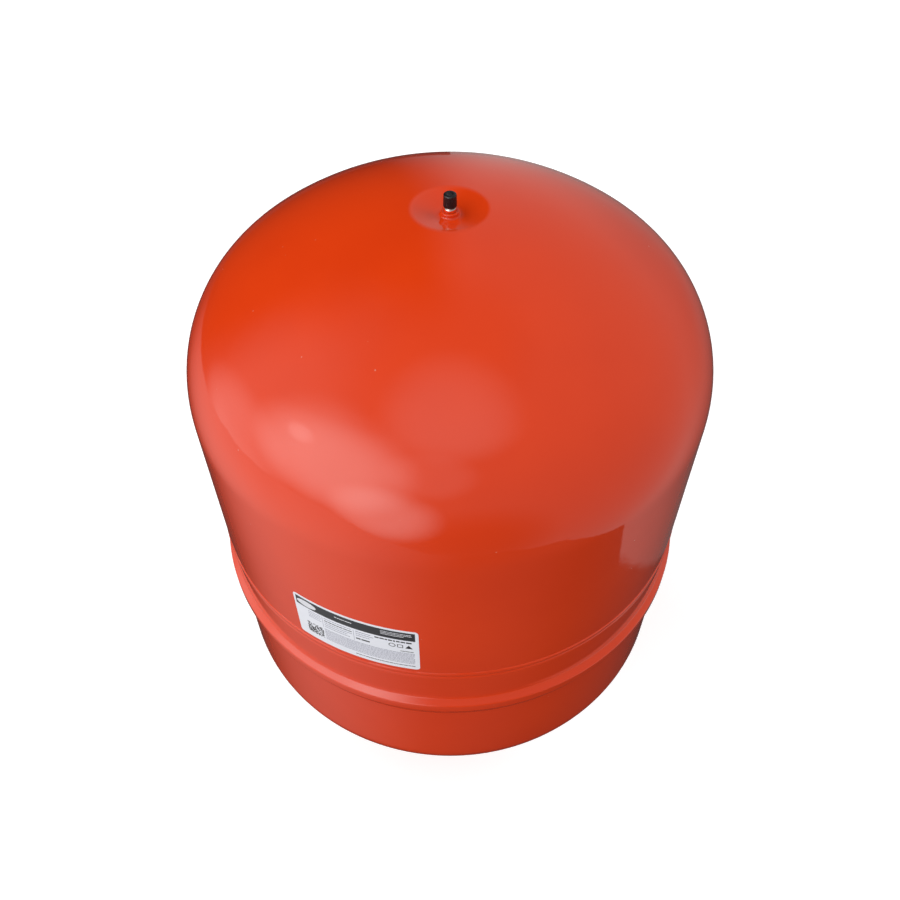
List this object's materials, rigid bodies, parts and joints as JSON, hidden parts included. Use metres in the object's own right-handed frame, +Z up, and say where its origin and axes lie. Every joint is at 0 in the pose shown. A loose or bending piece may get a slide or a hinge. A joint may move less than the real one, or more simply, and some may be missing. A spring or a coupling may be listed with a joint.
{
  "type": "expansion vessel",
  "caption": "Upright welded steel diaphragm expansion vessel for heating: domed orange-red tank on three legs, air valve in a top dimple, threaded water nipple underneath.",
  "frame": {"origin": "on the vessel's axis, in the plane of the feet's undersides", "axes": "+Z up along the vessel's axis, from the water nipple to the air valve; the data label faces -Y, turned towards -X; leg_1 is at +Y"},
  "size_m": [0.4059, 0.406, 0.6055],
  "materials": {
    "body_paint": "gloss orange-red enamel over pressed steel",
    "weld_paint": "gloss orange-red enamel over weld metal",
    "leg_paint": "gloss orange-red enamel on bent strip",
    "ring_steel": "bare rolled steel",
    "zinc_steel": "zinc plated, turned",
    "nickel": "bright nickel plate",
    "brass": "turned brass",
    "spring_steel": "drawn stainless wire",
    "diaphragm_rubber": "matt moulded butyl rubber",
    "seal_rubber": "matt rubber",
    "cap_plastic": "satin moulded plastic",
    "label_film": "printed plastic film, satin"
  },
  "bodies": {
    "vessel": {"upper_shell": "body_paint", "lower_shell": "body_paint", "seam_weld": "weld_paint", "clamping_ring": "ring_steel", "diaphragm_rim": "diaphragm_rubber", "water_nipple": "zinc_steel", "nipple_weld": "weld_paint", "inlet_guard": "zinc_steel", "valve_boss": "body_paint", "boss_weld": "weld_paint", "stem_seal": "seal_rubber", "valve_stem": "nickel", "core_body": "brass", "core_seal": "seal_rubber", "core_spring": "spring_steel", "label": "label_film", "leg_1": "leg_paint", "leg_2": "leg_paint", "leg_3": "leg_paint", "leg_welds": "weld_paint"},
    "diaphragm": {"diaphragm_wall": "diaphragm_rubber", "diaphragm_crown": "diaphragm_rubber"},
    "pin": {"core_pin": "brass", "core_cup": "brass"},
    "cap_thread": {"cap_seal": "seal_rubber"},
    "cap": {"valve_cap": "cap_plastic"}
  },
  "joints": [
    {"name": "diaphragm_stroke", "type": "slide", "parent": "vessel", "child": "diaphragm", "axis": [0, 0, 1], "range_m": [0, 0.18], "deforming": ["diaphragm_wall"]},
    {"name": "pin_press", "type": "slide", "parent": "vessel", "child": "pin", "axis": [0, 0, -1], "range_m": [0, 0.0012], "stiffness_N_per_m": 800, "springref_m": -0.002, "deforming": ["core_spring"]},
    {"name": "cap_lift", "type": "slide", "parent": "vessel", "child": "cap_thread", "axis": [0, 0, 1], "range_m": [0, 0.00635]},
    {"name": "cap_turn", "type": "hinge", "parent": "cap_thread", "child": "cap", "pos_m": [0, 0, 0.6], "axis": [0, 0, 1], "range_deg": [0, 2880]}
  ],
  "couplings": [
    {"joint": "cap_turn", "follows": "cap_lift", "rad_per_m": 7913.3}
  ]
}
